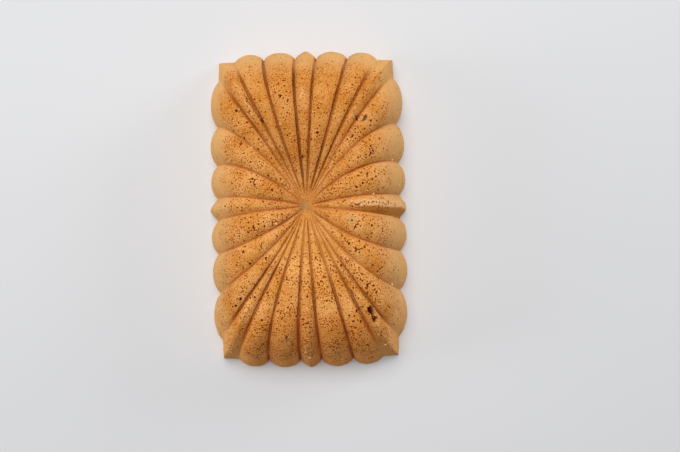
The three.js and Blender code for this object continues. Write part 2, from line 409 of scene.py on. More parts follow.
class Crust:
    """Grid of points over the cake: columns run round it, rows from the base's centre up to the dimple."""

    def __init__(self):
        steps = row_steps()
        lines = flute_lines(steps)
        self.set_points(np.array([line.points for line in lines]))
        kinds = np.array([line.kind for line in lines])[:, None]
        half_widths = np.array([line.half_width for line in lines])
        self.is_rib = kinds != "lobe"
        self.is_middle_rib = kinds == "rib"
        self.across = np.array([line.across for line in lines])[:, None]
        self.share = np.concatenate([np.ones(BASE_ROWS), levels_at(steps).share])[None, :]
        self.past_crest = with_base(self.across * half_widths, 0.0)
        self.from_groove = with_base((1 - np.abs(self.across)) * half_widths, HALF_WIDTH)
        self.narrow = with_base(np.minimum(half_widths / FULL_CREASE_WIDTH, 1), 1.0)
        self.crease = self.crease_depths([line.crease for line in lines])
        self.clear_detail()

    def set_points(self, sides):
        base_shares = np.linspace(LAST_ROW_SHARE, 1, BASE_ROWS, endpoint=False)
        base = sides[:, :1] * base_shares[None, :, None]
        self.points = np.concatenate([base, sides], axis=1)
        self.x, self.y, self.z = np.moveaxis(self.points, -1, 0)
        self.shape = self.x.shape
        self.is_base = (np.arange(self.shape[1]) < BASE_ROWS)[None, :]
        self.is_top = self.z > COARSE_BELOW
        self.normals = grid_normals(self.points)
        self.from_rim = np.linalg.norm((self.points - sides[:, :1])[..., :2], axis=2)
        self.column_gap = np.linalg.norm(np.roll(self.points, -1, axis=0) - self.points, axis=2)
        self.row_gap = np.linalg.norm(np.gradient(self.points, axis=1), axis=2)

    def crease_depths(self, creases):
        """How deep the crevice of the nearest groove is, as a share of its depth."""
        top, wall = np.array(creases).T[..., None]
        depth = wall + (top - wall) * smooth_step(self.share, CREASE_TOP)
        inner = INNER_CREASE * smooth_step(self.share, INNER_CREASES)
        return np.maximum(depth, inner) * smooth_step(self.share, CREASES_BEGIN)

    def clear_detail(self):
        """Values that the detail changes: places and heights, then marks for the colours and the mesh."""
        self.placed = self.points.copy()
        self.moved = np.zeros(self.shape)
        self.sunk = np.zeros(self.shape)
        self.hole = np.zeros(self.shape)
        self.torn = np.zeros(self.shape)
        self.strip = np.zeros(self.shape)
        self.darker_and_shaded = np.zeros(self.shape)
        self.porous = np.zeros(self.shape)
        self.pit = np.zeros(self.shape)
        self.taken = np.zeros(self.shape, dtype=bool)
        self.kept = np.zeros(self.shape, dtype=bool)


# Slow, middle and fine unevenness of the crust
UNEVENNESS = [Field(22.0, 0.25, SEED), Field(5.0, 0.12, SEED + 1), Field(1.6, 0.07, SEED + 2)]

# The ribs' crests are rough in patches, between the wall and the centre, and torn at their high grains
RIB_ROUGHNESS = [Field(2.4, 0.45, SEED + 10), Field(1.1, 0.25, SEED + 11)]
ROUGH_PATCHES = Field(14.0, 1.0, SEED + 20)
PATCH_EDGE = Ramp(-0.4, 0.3)
NEAR_CREST = Ramp(0.75, 0.15)
ROUGH_ABOVE_WALL = Ramp(0.97, 0.85)
ROUGH_FROM_CENTRE = Ramp(0.1, 0.3)
HIGH_GRAINS = Ramp(0.0, 0.5)
TORN_GRAINS = 0.45

# Places where a rib is crumbly, and the share of their radius where it is fully so
ROUGH_PLACES = [
    Place(47.0, 0.3, 16.0),
    Place(-64.3, -0.4, 8.0),
    Place(35.9, -59.2, 12.0),
    Place(-29.3, 56.3, 8.0),
    Place(35.9, 54.4, 8.0),
    Place(0.3, -101.0, 9.0),
]
ROUGH_CORE = 0.6

# The middle ribs' crests are rounded this far to both sides, at the flanks' slope
CREST_WIDTH = 2.2
CREST_SLOPE = 0.75

# The right rib's crest is torn off along a strip: where it begins along x, its reach to the front and to the
# back of the crest, its depth, wandering edge and grains
STRIP_BEGINS = Ramp(26.0, 36.0)
STRIP_FRONT = 1.6
STRIP_BACK = 2.4
STRIP_DEPTH = 1.4
STRIP_WANDER = Field(1.5, 0.5, SEED + 90)
STRIP_EDGE = Ramp(-0.1, 0.15)
STRIP_GRAINS = [Field(1.3, 0.3, SEED + 91), Field(0.7, 0.25, SEED + 92)]
STRIP_PORES = 1.3

# The flank in front of it gets painted shade, as that steep face lies in shadow
STRIP_FLANK = Ramp(0.5 - STRIP_FRONT, -STRIP_FRONT)
FLANK_SHADE = 0.8


def distance_from(crust, place):
    return np.hypot(crust.x - place.x, crust.y - place.y)


def add_unevenness(crust):
    crust.moved += layered_fields(crust.points, UNEVENNESS)


def roughen_ribs(crust):
    rough = layered_fields(crust.points, RIB_ROUGHNESS)
    patches = smooth_step(random_field(crust.points, ROUGH_PATCHES), PATCH_EDGE)
    for place in ROUGH_PLACES:
        crumbly = smooth_step(distance_from(crust, place), Ramp(place.radius, ROUGH_CORE * place.radius))
        patches = np.maximum(patches, crumbly)
    on_top = smooth_step(crust.share, ROUGH_ABOVE_WALL) * smooth_step(crust.share, ROUGH_FROM_CENTRE)
    crest = smooth_step(np.abs(crust.across), NEAR_CREST) * crust.is_rib * ~crust.is_base
    where = on_top * patches * crest
    crust.moved += where * rough
    crust.torn = np.maximum(crust.torn, TORN_GRAINS * where * smooth_step(rough, HIGH_GRAINS))


def along_strip(crust):
    """Rises from 0 to 1 along the right rib."""
    return smooth_step(crust.x, STRIP_BEGINS) * crust.is_middle_rib * ~crust.is_base


def round_ribs(crust):
    """Takes the sharp edge off the middle ribs' crests."""
    width = CREST_WIDTH * crust.narrow
    inside = np.maximum(width - np.abs(crust.past_crest), 0) * crust.is_middle_rib * ~crust.is_base
    crust.moved -= CREST_SLOPE * inside ** 2 / (2 * width) * (1 - along_strip(crust))


def tear_strip(crust):
    along = along_strip(crust)
    across = crust.past_crest + random_field(crust.points, STRIP_WANDER)
    to_edge = np.where(across < 0, 1 + across / STRIP_FRONT, 1 - across / STRIP_BACK)
    crust.moved -= STRIP_DEPTH * along * np.clip(to_edge, 0, 1)
    crust.strip = along * smooth_step(to_edge, STRIP_EDGE)
    crust.moved += crust.strip * layered_fields(crust.points, STRIP_GRAINS)
    crust.torn = np.maximum(crust.torn, crust.strip)
    # Painted shade on the flank in front of the strip
    crust.darker_and_shaded = FLANK_SHADE * along * smooth_step(across, STRIP_FLANK)


def crevice(crust, width):
    """Rises from 0 at a distance from the grooves to 1 in them."""
    return np.maximum(1 - crust.from_groove / (width * crust.narrow), 0) ** CREVICE_CURVE


def add_crevices(crust):
    patches = USUAL_CREVICE + random_field(crust.points, CREVICE_PATCHES)
    depth = CREVICE_DEPTH * crust.crease * crust.narrow * np.clip(patches, LEAST_CREVICE, 1)
    crust.moved -= depth * crevice(crust, CREVICE_WIDTH)


# Pores: number, usual radius and its spread, depth over radius, the floor's share of the rim, uneven rim
PORE_COUNT = 9000
PORE_RADIUS = 0.33
PORE_SPREAD = 0.36
PORE_DEPTH = 1.7
PORE_FLOOR_SHARE = 0.5
PORE_UNEVEN = (0.75, 1.25)
PORE_COLUMNS = 4

# They begin this far from the rim, further at the back than at the front, and are soon dense
PORES_FROM_RIM = 8.0
PORES_BACK_SHIFT = 5.0
PORES_GROWTH = 9.0
PORES_FROM_CENTRE = Ramp(0.04, 0.2)
PORES_FROM_GROOVE = Ramp(0.6, 1.6)

# Share of them at the rim, on the base, low on the wall and at the back, and what the front has more
LEAST_PORES = 0.02
BASE_PORES = 0.08
WALL_PORES = 0.14
BACK_PORES = 0.8
MORE_FRONT_PORES = 0.35
LOW_WALL = Ramp(0.65 * RING_HEIGHT, 0.4 * RING_HEIGHT)
PORES_BACK = Ramp(0.2 * HALF_LENGTH, 0.6 * HALF_LENGTH)
PORES_FRONT = Ramp(0.2 * HALF_LENGTH, 0.5 * HALF_LENGTH)
PORES_MIDDLE = Ramp(0.75 * HALF_WIDTH, 0.55 * HALF_WIDTH)

# They stand in clusters
PORE_CLUSTERS = Field(8.0, 0.6, SEED + 30)
USUAL_CLUSTER = 0.8
CLUSTER_LIMITS = (0.2, 1.3)


def pore_density(crust):
    """How many pores each place of the crust has, against the most."""
    start = PORES_FROM_RIM + PORES_BACK_SHIFT * crust.y / HALF_LENGTH
    density = smooth_step(crust.from_rim, Ramp(start, start + PORES_GROWTH))
    density = density * smooth_step(crust.share, PORES_FROM_CENTRE)
    density = LEAST_PORES + (1 - LEAST_PORES) * density
    density = np.maximum(density, WALL_PORES * smooth_step(crust.z, LOW_WALL))
    density *= 1 + (BACK_PORES - 1) * smooth_step(crust.y, PORES_BACK)
    more_at_front = MORE_FRONT_PORES * smooth_step(-crust.y, PORES_FRONT)
    density *= 1 + more_at_front * smooth_step(np.abs(crust.x), PORES_MIDDLE)
    density *= smooth_step(crust.from_groove, PORES_FROM_GROOVE)
    clusters = USUAL_CLUSTER + random_field(crust.points, PORE_CLUSTERS)
    return np.where(crust.is_base, BASE_PORES, density * np.clip(clusters, *CLUSTER_LIMITS))


def pinch_pore(crust, column, row, radius, draw):
    """Draws the points round one grid point together into the rim of a small steep pit."""
    beside = int(np.clip(round(radius / crust.column_gap[column, row]), 1, PORE_COLUMNS))
    across = np.arange(column - beside, column + beside + 1) % crust.shape[0]
    along = np.arange(row - 1, row + 2)
    window = np.ix_(across, along)
    if crust.taken[window].any():
        return
    crust.taken[window] = True
    crust.kept[np.ix_(across[::beside], along)] = True
    centre = crust.points[column, row]
    offset = crust.points[window] - centre
    distance = np.linalg.norm(offset, axis=2)
    reach = radius * draw.uniform(*PORE_UNEVEN, distance.shape)
    reach[1:-1, 1] = np.minimum(reach[1:-1, 1], distance[1:-1, 1]) * PORE_FLOOR_SHARE
    crust.placed[window] = centre + offset * (reach / np.maximum(distance, TINY))[..., None]
    crust.sunk[across[1:-1], row] += PORE_DEPTH * radius
    # Marks the pit's faces for painted shade
    crust.pit[np.ix_(across[:-1], (row - 1, row))] = 1


def add_pores(crust):
    draw = np.random.default_rng(SEED)
    crust.porous = pore_density(crust)
    total = np.cumsum(crust.porous * crust.column_gap * crust.row_gap)
    places = np.searchsorted(total, draw.uniform(0, total[-1], PORE_COUNT))
    radii = PORE_RADIUS * np.exp(PORE_SPREAD * draw.standard_normal(PORE_COUNT))
    for place, radius in zip(places, radii):
        column, row = np.unravel_index(place, crust.shape)
        if 1 <= row < crust.shape[1] - 1:
            pinch_pore(crust, column, row, radius, draw)


# Larger pits: the places of those with each radius
PITS = {
    1.1: [(-40.1, -56.9), (30.6, -65.5)],
    1.0: [(-40.9, 58.4), (-43.6, -61.1), (36.8, -88.3)],
    0.8: [(45.2, -40.4), (28.0, -72.0), (32.7, -72.0), (-13.4, 66.5)],
    0.75: [(40.6, -13.7)],
    0.7: [
        (43.3, -41.9), (31.8, 9.6), (40.6, -18.3), (35.7, -75.5), (26.6, -75.2), (29.4, -75.9),
        (-27.5, -69.7), (-34.5, -16.3), (29.6, 40.8),
    ],
    0.65: [(37.3, 69.7), (-38.2, 38.1)],
    0.6: [
        (41.0, -50.4), (32.9, 16.6), (47.5, 19.5), (45.0, -14.0), (16.6, -17.3), (37.0, -50.6),
        (25.9, -68.6), (12.7, -73.4), (-15.1, -69.3), (-42.1, -36.1), (8.2, 43.5), (32.6, 77.9),
        (-11.7, 76.6),
    ],
    0.55: [(30.8, 72.9), (41.1, 47.5)],
    0.5: [(29.1, 63.3), (37.0, 64.4), (51.2, 63.2), (32.7, 51.7), (-16.6, 68.3), (-9.2, 62.5)],
}

# Depth over radius, ragged edge, and where the wall and the part with painted shade lie, in radii from the
# middle
PIT_DEPTH = 1.8
PIT_RAGGED = Field(0.5, 0.35, SEED + 60)
PIT_REACH = 1.4
PIT_WALL = Ramp(1.1, 0.45)
PIT_DARK = Ramp(1.2, 0.7)

# Cracks: width, depth and the places that each runs through
Crack = namedtuple("Crack", "width depth places")
CRACKS = [
    Crack(0.6, 1.4, [(28.3, 0.3), (30.5, -0.7), (32.5, -1.0), (34.8, -0.6), (36.7, 0.2)]),
    Crack(0.7, 1.6, [(41.3, 35.2), (41.8, 32.1), (40.5, 29.1)]),
    Crack(0.9, 1.8, [(38.5, 18.6), (38.3, 16.1)]),
    Crack(0.5, 1.3, [(29.5, -29.5), (31.8, -28.0), (34.4, -27.2)]),
    Crack(0.5, 1.3, [(33.0, -10.2), (31.9, -11.4), (32.0, -12.9), (30.2, -14.3), (29.8, -15.9)]),
    Crack(0.5, 1.2, [(-30.0, 14.4), (-30.3, 12.8), (-30.0, 11.1)]),
    Crack(0.5, 1.2, [(-31.0, -12.5), (-30.5, -15.5)]),
    Crack(0.5, 1.2, [(-26.3, -23.3), (-26.5, -26.6)]),
    Crack(0.5, 1.2, [(-36.6, 1.2), (-33.9, -0.1)]),
    Crack(0.6, 1.0, [(26.5, -52.0), (28.7, -58.7), (31.1, -61.1)]),
    Crack(0.5, 0.9, [(30.7, -65.1), (32.9, -62.9), (35.2, -62.5)]),
    Crack(0.5, 0.9, [(22.4, -70.2), (22.2, -72.9)]),
    Crack(0.5, 1.2, [(-35.2, 67.6), (-31.1, 60.6), (-27.0, 54.6), (-24.7, 51.0)]),
    Crack(0.4, 1.0, [(-34.0, 56.9), (-29.9, 51.9)]),
    Crack(0.4, 0.7, [(31.5, 51.6), (34.6, 53.6), (37.0, 53.2)]),
]

# Their wandering line, where the wall and the part with painted shade lie, in widths from it, and the depth
# from which they get full painted shade
CRACK_WANDER_X = Field(1.3, 0.6, SEED + 40)
CRACK_WANDER_Y = Field(1.3, 0.6, SEED + 41)
CRACK_WALL = Ramp(0.9, 0.1)
CRACK_DARK = Ramp(0.8, 0.3)
DARK_CRACK_DEPTH = 1.6

# Torn places: x, y, half sizes along x and y, turn in degrees and depth
Tear = namedtuple("Tear", "x y half_x half_y turn depth")
TEARS = [
    Tear(39.0, -64.8, 1.8, 2.9, 10, 4.2),
    Tear(40.1, -68.0, 1.1, 2.2, 25, 3.8),
    Tear(41.2, -70.5, 2.0, 2.2, 25, 4.8),
    Tear(37.7, 51.9, 1.3, 2.3, -30, 2.6),
]

# Their wandering edge, where the wall, the part with painted shade and the pale edge lie, and the depth from
# which they get full painted shade
TEAR_WANDER = [Field(1.1, 0.3, SEED + 50), Field(2.3, 0.2, SEED + 51)]
TEAR_WALL = Ramp(1.05, 0.6)
TEAR_DARK = Ramp(1.1, 0.85)
TEAR_EDGE = Ramp(1.3, 1.0)
TEAR_EDGE_SHARE = 0.5
DARK_TEAR_DEPTH = 4.0


def nearest_on_top(crust, x, y):
    """Column and row of the crust straight under a place."""
    first_row = int(np.argmax(crust.is_top[0]))
    gap = (crust.x[:, first_row:] - x) ** 2 + (crust.y[:, first_row:] - y) ** 2
    column, row = np.unravel_index(np.argmin(gap), gap.shape)
    return column, row + first_row


def press_pit(crust, column, row, radius, ragged):
    reach = PIT_REACH * radius
    columns = int(reach / crust.column_gap[column, row] + 1)
    rows = int(reach / crust.row_gap[column, row] + 1)
    across = np.arange(column - columns, column + columns + 1) % crust.shape[0]
    window = np.ix_(across, np.arange(row - rows, row + rows + 1))
    offset = crust.points[window] - crust.points[column, row]
    distance = np.linalg.norm(offset, axis=2) / radius * ragged[window]
    depth = PIT_DEPTH * radius * smooth_step(distance, PIT_WALL)
    crust.sunk[window] = np.maximum(crust.sunk[window], depth)
    # Painted shade in the pit
    crust.hole[window] = np.maximum(crust.hole[window], smooth_step(distance, PIT_DARK))


def add_pits(crust):
    ragged = 1 + random_field(crust.points, PIT_RAGGED)
    for radius, places in PITS.items():
        for x, y in places:
            press_pit(crust, *nearest_on_top(crust, x, y), radius, ragged)


def distance_to_line(x, y, start, end):
    """Distance in plan from a line that runs between two places."""
    run = np.subtract(end, start)
    share = ((x - start[0]) * run[0] + (y - start[1]) * run[1]) / (run @ run)
    share = np.clip(share, 0, 1)
    return np.hypot(x - start[0] - share * run[0], y - start[1] - share * run[1])


def add_cracks(crust):
    x = crust.x + random_field(crust.points, CRACK_WANDER_X)
    y = crust.y + random_field(crust.points, CRACK_WANDER_Y)
    for crack in CRACKS:
        darkness = crust.is_top * min(1, crack.depth / DARK_CRACK_DEPTH)
        for start, end in zip(crack.places, crack.places[1:]):
            distance = distance_to_line(x, y, start, end) / crack.width
            depth = crust.is_top * crack.depth * smooth_step(distance, CRACK_WALL)
            crust.sunk = np.maximum(crust.sunk, depth)
            # Painted shade in the crack
            crust.hole = np.maximum(crust.hole, darkness * smooth_step(distance, CRACK_DARK))


def add_tears(crust):
    wander = layered_fields(crust.points, TEAR_WANDER)
    for tear in TEARS:
        turn = math.radians(tear.turn)
        x = crust.x - tear.x
        y = crust.y - tear.y
        along_x = (x * math.cos(turn) + y * math.sin(turn)) / tear.half_x
        along_y = (y * math.cos(turn) - x * math.sin(turn)) / tear.half_y
        distance = np.hypot(along_x, along_y) + wander
        depth = crust.is_top * tear.depth * smooth_step(distance, TEAR_WALL)
        darkness = crust.is_top * min(1, tear.depth / DARK_TEAR_DEPTH) * smooth_step(distance, TEAR_DARK)
        edge = crust.is_top * TEAR_EDGE_SHARE * smooth_step(distance, TEAR_EDGE)
        crust.sunk = np.maximum(crust.sunk, depth)
        # Painted shade in the torn place
        crust.hole = np.maximum(crust.hole, darkness)
        crust.torn = np.maximum(crust.torn, edge)


def make_crust():
    crust = Crust()
    add_unevenness(crust)
    roughen_ribs(crust)
    round_ribs(crust)
    tear_strip(crust)
    add_crevices(crust)
    add_pores(crust)
    add_pits(crust)
    add_cracks(crust)
    add_tears(crust)
    crust.kept |= crust.hole > 0
    return crust


# The base is hollow by this much, and only its outermost points follow the foot of the wall
BASE_HOLLOW = 0.1
FOOT_PULL = 8


def finished_points(crust):
    """The crust's points with all its detail; the base only sinks inwards, so that it rests flat."""
    moved = crust.moved - crust.sunk
    moved = np.where(crust.is_base, np.minimum(moved - BASE_HOLLOW, 0), moved)
    points = crust.placed + crust.normals * moved[..., None]
    foot_shift = points[:, BASE_ROWS] - crust.points[:, BASE_ROWS]
    nearness = (np.arange(BASE_ROWS) / BASE_ROWS) ** FOOT_PULL
    points[:, :BASE_ROWS, :2] += foot_shift[:, None, :2] * nearness[None, :, None]
    points[..., 2] = np.maximum(points[..., 2], 0)
    return points


# Areas of other colours: the grooves get painted shade this far to both sides
GROOVE_SHADE_WIDTH = 0.8

# The wall is pale near the rim, partly its own paler crust and partly painted sheen, and has little grain;
# the front wall gets painted light, a brighter orange over its shade, weaker at the corners
PALE_WALL = Ramp(26.0, 6.0)
PLAIN_WALL = 0.75
FRONT_LIGHT_REACH = Ramp(0.6 * HALF_LENGTH, 0.9 * HALF_LENGTH)
OFF_CORNERS = Ramp(48.0, 38.0)
CORNER_FRONT_LIGHT = 0.5

# The back of the top is darker, well inside the rim
DARKER_BACK = 0.3
DARKER_INSIDE = Ramp(18.0, 32.0)
DARKER_Y = Ramp(15.0, 45.0)

# The dimple has a golden oval in its front
GOLDEN_X = 2.0
GOLDEN_Y = -27.0
GOLDEN_WIDTH = 28.0
GOLDEN_LENGTH = 26.0
GOLDEN_EDGE = Ramp(1.0, 0.4)

# The front shoulder has a ruddy band, partly a redder crust and partly painted shade, the warm bounce light
# in its shade
SHOULDER_Y = -80.0
SHOULDER_EDGE = Ramp(16.0, 6.0)

# Grey smudges, and the share of their radius where they are full
SMUDGES = [Place(28.1, -9.5, 3.2), Place(-1.6, 0.1, 5.0)]
SMUDGE_CORE = 0.3


def smudges(crust):
    grey = np.zeros(crust.shape)
    for place in SMUDGES:
        edge = Ramp(place.radius, SMUDGE_CORE * place.radius)
        grey = np.maximum(grey, smooth_step(distance_from(crust, place), edge))
    return grey * ~crust.is_base


def darker_back(crust):
    inside = smooth_step(crust.from_rim, DARKER_INSIDE)
    return DARKER_BACK * inside * smooth_step(crust.y, DARKER_Y) * ~crust.is_base


def golden_oval(crust):
    out = np.hypot((crust.x - GOLDEN_X) / GOLDEN_WIDTH, (crust.y - GOLDEN_Y) / GOLDEN_LENGTH)
    return smooth_step(out, GOLDEN_EDGE) * ~crust.is_base


def ruddy_shoulder(crust):
    band = smooth_step(np.abs(crust.y - SHOULDER_Y), SHOULDER_EDGE)
    return smooth_step(np.abs(crust.x), OFF_CORNERS) * band * ~crust.is_base


# Painted light on the shaded front wall, weaker at the corners
def front_painted_light(crust):
    off_corners = smooth_step(np.abs(crust.x), OFF_CORNERS)
    return smooth_step(-crust.y, FRONT_LIGHT_REACH) * (CORNER_FRONT_LIGHT + (1 - CORNER_FRONT_LIGHT) * off_corners)


def coloured_areas(crust):
    """How far each point of the crust belongs to each area."""
    wall = smooth_step(crust.from_rim, PALE_WALL) * ~crust.is_base
    front = front_painted_light(crust)
    # The groove and hole areas carry painted shade and the front area painted light; the rib's flank and the
    # front shoulder get some painted shade too
    return {
        "hole": crust.hole,
        "torn": crust.torn,
        "wall": wall,
        "groove": crevice(crust, GROOVE_SHADE_WIDTH) * crust.crease,
        "porous": np.maximum(crust.porous, STRIP_PORES * crust.strip),
        "front": front,
        "smudge": smudges(crust),
        "darker_and_shaded": np.maximum(crust.darker_and_shaded, darker_back(crust)),
        "golden": golden_oval(crust),
        "ruddy": ruddy_shoulder(crust),
        "grainy": 1 - PLAIN_WALL * wall * (1 - front),
    }


# Meshes


def grid_faces(columns, rows):
    """Faces of a closed grid: quads between its columns and rows, and a fan at each end."""
    column, row = np.meshgrid(np.arange(columns), np.arange(rows - 1), indexing="ij")
    here = (column * rows + row).ravel()
    beside = ((column + 1) % columns * rows + row).ravel()
    quads = np.stack([here, beside, beside + 1, here + 1], axis=1)
    foot = columns * rows
    centre = foot + 1
    first = np.arange(columns) * rows
    after = np.roll(first, -1)
    foot_fan = np.stack([after, first, np.full(columns, foot)], axis=1)
    centre_fan = np.stack([first + rows - 1, after + rows - 1, np.full(columns, centre)], axis=1)
    return quads, np.concatenate([foot_fan, centre_fan])


def mesh_from_arrays(name, points, quads, triangles):
    corners = np.concatenate([quads.ravel(), triangles.ravel()])
    quad_starts = np.arange(len(quads)) * 4
    triangle_starts = quads.size + np.arange(len(triangles)) * 3
    starts = np.concatenate([quad_starts, triangle_starts])
    mesh = bpy.data.meshes.new(name)
    mesh.vertices.add(len(points))
    mesh.vertices.foreach_set("co", (points * METRES).astype(np.float32).ravel())
    mesh.loops.add(len(corners))
    mesh.loops.foreach_set("vertex_index", corners.astype(np.int32))
    mesh.polygons.add(len(starts))
    mesh.polygons.foreach_set("loop_start", starts.astype(np.int32))
    mesh.update(calc_edges=True)
    return mesh


def set_attribute(mesh, name, values, domain):
    attribute = mesh.attributes.new(name, "FLOAT", domain)
    attribute.data.foreach_set("value", values.astype(np.float32).ravel())


def thin_out(piece, triangles, kept):
    """Collapses the fine mesh to a number of triangles, without touching the points to be kept."""
    full = sum(polygon.loop_total - 2 for polygon in piece.data.polygons)
    group = piece.vertex_groups.new(name="free")
    group.add(np.flatnonzero(~kept).tolist(), 1.0, "REPLACE")
    modifier = piece.modifiers.new("thin_out", "DECIMATE")
    modifier.vertex_group = group.name
    modifier.vertex_group_factor = 1.0
    modifier.ratio = triangles / full
    modifier.use_collapse_triangulate = True
    graph = bpy.context.evaluated_depsgraph_get()
    thinned = bpy.data.meshes.new_from_object(piece.evaluated_get(graph))
    piece.modifiers.clear()
    fine = piece.data
    piece.data = thinned
    bpy.data.meshes.remove(fine)


def add_piece(name, mesh):
    piece = bpy.data.objects.new(name, mesh)
    bpy.context.scene.collection.objects.link(piece)
    return piece


def make_cake(crust):
    points = finished_points(crust)
    ends = np.array([points[:, 0].mean(axis=0), points[:, -1].mean(axis=0)])
    all_points = np.concatenate([points.reshape(-1, 3), ends])
    quads, triangles = grid_faces(*crust.shape)
    mesh = mesh_from_arrays("cake_crust", all_points, quads, triangles)
    for name, values in coloured_areas(crust).items():
        set_attribute(mesh, name, np.concatenate([values.ravel(), np.zeros(len(ends))]), "POINT")
    # The pores' faces carry painted shade
    pits = np.concatenate([crust.pit[:, :-1].ravel(), np.zeros(len(triangles))])
    set_attribute(mesh, "pit", pits, "FACE")
    piece = add_piece("cake_crust", mesh)
    thin_out(piece, CAKE_TRIANGLES, np.concatenate([crust.kept.ravel(), [False] * len(ends)]))
    piece.data.shade_smooth()
    piece.data.set_sharp_from_angle(angle=math.radians(SHARP_ANGLE))
    return piece


# Crumbs on the crust: those that stand out, then how many small ones, their usual radius and its spread
CRUMBS = [
    Place(41.9, 6.0, 0.8),
    Place(55.4, 29.6, 0.7),
    Place(53.4, -51.0, 0.8),
    Place(-13.7, 49.3, 0.7),
    Place(-17.9, -11.4, 0.8),
    Place(0.9, -99.3, 0.8),
]
SMALL_CRUMBS = 160
SMALL_CRUMB_RADIUS = 0.33
CRUMB_SPREAD = 0.3

# The small ones lie where the crust is torn, and a few elsewhere above the foot
STRAY_CRUMBS = 0.02
CRUMBS_ABOVE_FOOT = Ramp(0.99, 0.93)

# Their uneven form, each from its own place in the field, their stretch, and how far they stand out
CRUMB_FORM = Field(0.8, 0.35, SEED + 70)
CRUMB_FIELD_STEP = 10
CRUMB_STRETCH = (0.7, 1.25)
CRUMB_LIFT = 0.35
CRUMB_SEED = SEED + 1


def crumb_ball():
    ball = bmesh.new()
    bmesh.ops.create_icosphere(ball, subdivisions=2, radius=1)
    corners = np.array([vertex.co for vertex in ball.verts])
    triangles = np.array([[vertex.index for vertex in face.verts] for face in ball.faces])
    ball.free()
    return corners, triangles


def crumb_places(crust, draw):
    """Column, row and radius of every crumb."""
    places = [(*nearest_on_top(crust, crumb.x, crumb.y), crumb.radius) for crumb in CRUMBS]
    weight = (STRAY_CRUMBS + crust.torn) * crust.column_gap * crust.row_gap * ~crust.is_base
    total = np.cumsum(weight * smooth_step(crust.share, CRUMBS_ABOVE_FOOT))
    for place in np.searchsorted(total, draw.uniform(0, total[-1], SMALL_CRUMBS)):
        radius = SMALL_CRUMB_RADIUS * math.exp(CRUMB_SPREAD * draw.standard_normal())
        places.append((*np.unravel_index(place, crust.shape), radius))
    return places


def make_crumbs(crust, surface):
    draw = np.random.default_rng(CRUMB_SEED)
    corners, triangles = crumb_ball()
    all_points = []
    all_triangles = []
    for index, (column, row, radius) in enumerate(crumb_places(crust, draw)):
        uneven = 1 + random_field(corners + CRUMB_FIELD_STEP * index, CRUMB_FORM)[:, None]
        stretched = corners * uneven * draw.uniform(*CRUMB_STRETCH, 3) * radius
        centre = surface[column, row] + crust.normals[column, row] * CRUMB_LIFT * radius
        all_points.append(stretched + centre)
        all_triangles.append(triangles + len(corners) * index)
    no_quads = np.zeros((0, 4), dtype=int)
    points = np.concatenate(all_points)
    mesh = mesh_from_arrays("loose_crumbs", points, no_quads, np.concatenate(all_triangles))
    mesh.shade_smooth()
    return add_piece("loose_crumbs", mesh)


# Materials: colours are linear red, green and blue
CRUST_DARK = (0.63, 0.246, 0.045, 1)
CRUST_LIGHT = (0.78, 0.372, 0.112, 1)
GRAIN_DARK = (0.46, 0.105, 0.0, 1)
GRAIN_LIGHT = (0.92, 0.52, 0.18, 1)
# The wall's pale colour is partly the crust's own and partly painted sheen; the front's brighter orange is
# painted light over its shade
WALL_COLOUR_AND_SHEEN = (0.785, 0.46, 0.19, 1)
FRONT_PAINTED_LIGHT = (0.92, 0.40, 0.12, 1)
# Painted shade for the grooves' creases
GROOVE_SHADE = (0.22, 0.03, 0.0, 1)
TORN_COLOUR = (0.88, 0.52, 0.25, 1)
# Painted shade inside the pores
PORE_SHADE = (0.25, 0.028, 0.0, 1)
CRUMB_COLOUR = (0.82, 0.50, 0.22, 1)
TABLE_COLOUR = (0.685, 0.69, 0.705, 1)
WHITE = (1, 1, 1, 1)

# Tints of the crust's areas, how strong they are and their colours; later ones lie over earlier ones
Tint = namedtuple("Tint", "area share colour")
# The grooves' tint is painted shade in their creases
GROOVE_SHADE_TINT = Tint("groove", 0.68, GROOVE_SHADE)
WALL_SHARE = 0.8
SKIN_TINTS = [
    Tint("golden", 0.3, (0.88, 0.44, 0.11, 1)),
    Tint("ruddy", 0.3, (0.95, 0.31, 0.05, 1)),
    # Painted shade on the right rib's front flank, and the darker back of the top
    Tint("darker_and_shaded", 0.8, (0.49, 0.16, 0.013, 1)),
    Tint("torn", 0.68, TORN_COLOUR),
    Tint("smudge", 0.5, (0.30, 0.24, 0.11, 1)),
]
# Painted shade in the pores, and darker still in the pits, cracks and torn places
HOLE_SHADE_TINTS = [
    Tint("pit", 1.0, PORE_SHADE),
    Tint("hole", 1.0, (0.09, 0.009, 0.0, 1)),
]

# Noise in the materials: size of the grains in millimetres and detail
Noise = namedtuple("Noise", "size detail")
CRUST_PATCHES = Noise(14.0, 3)
CRUST_GRAIN = Noise(0.9, 2)
CRUST_BUMPS = Noise(1.0, 4)
CRUST_BUMP_HEIGHT = 0.6
CRUMB_GRAIN = Noise(0.7, 3)
CRUMB_BUMPS = Noise(0.3, 3)
CRUMB_BUMP_HEIGHT = 0.15

# Where the noise turns light or dark, and how strongly the grains show
PATCHES_LIGHT = Ramp(0.35, 0.65)
GRAINS_DARK = Ramp(0.5, 0.3)
GRAINS_LIGHT = Ramp(0.5, 0.7)
DARK_GRAIN_SHARE = 0.75
LIGHT_GRAIN_SHARE = 0.38

# Painted shade of pores finer than the mesh, as dark spots: size of their cells, and the spots' sizes and
# soft edge as shares of a cell
SPOT_CELL = 1.0
SMALLEST_SPOT = 0.01
LARGEST_SPOT = 0.5
SPOT_EDGE = Ramp(0.0, 0.12)
SPOTTED_CELLS = Ramp(0.3, 1.0)


def new_material(name):
    material = bpy.data.materials.new(name)
    material.use_nodes = True
    tree = material.node_tree
    return material, tree, tree.nodes["Principled BSDF"]


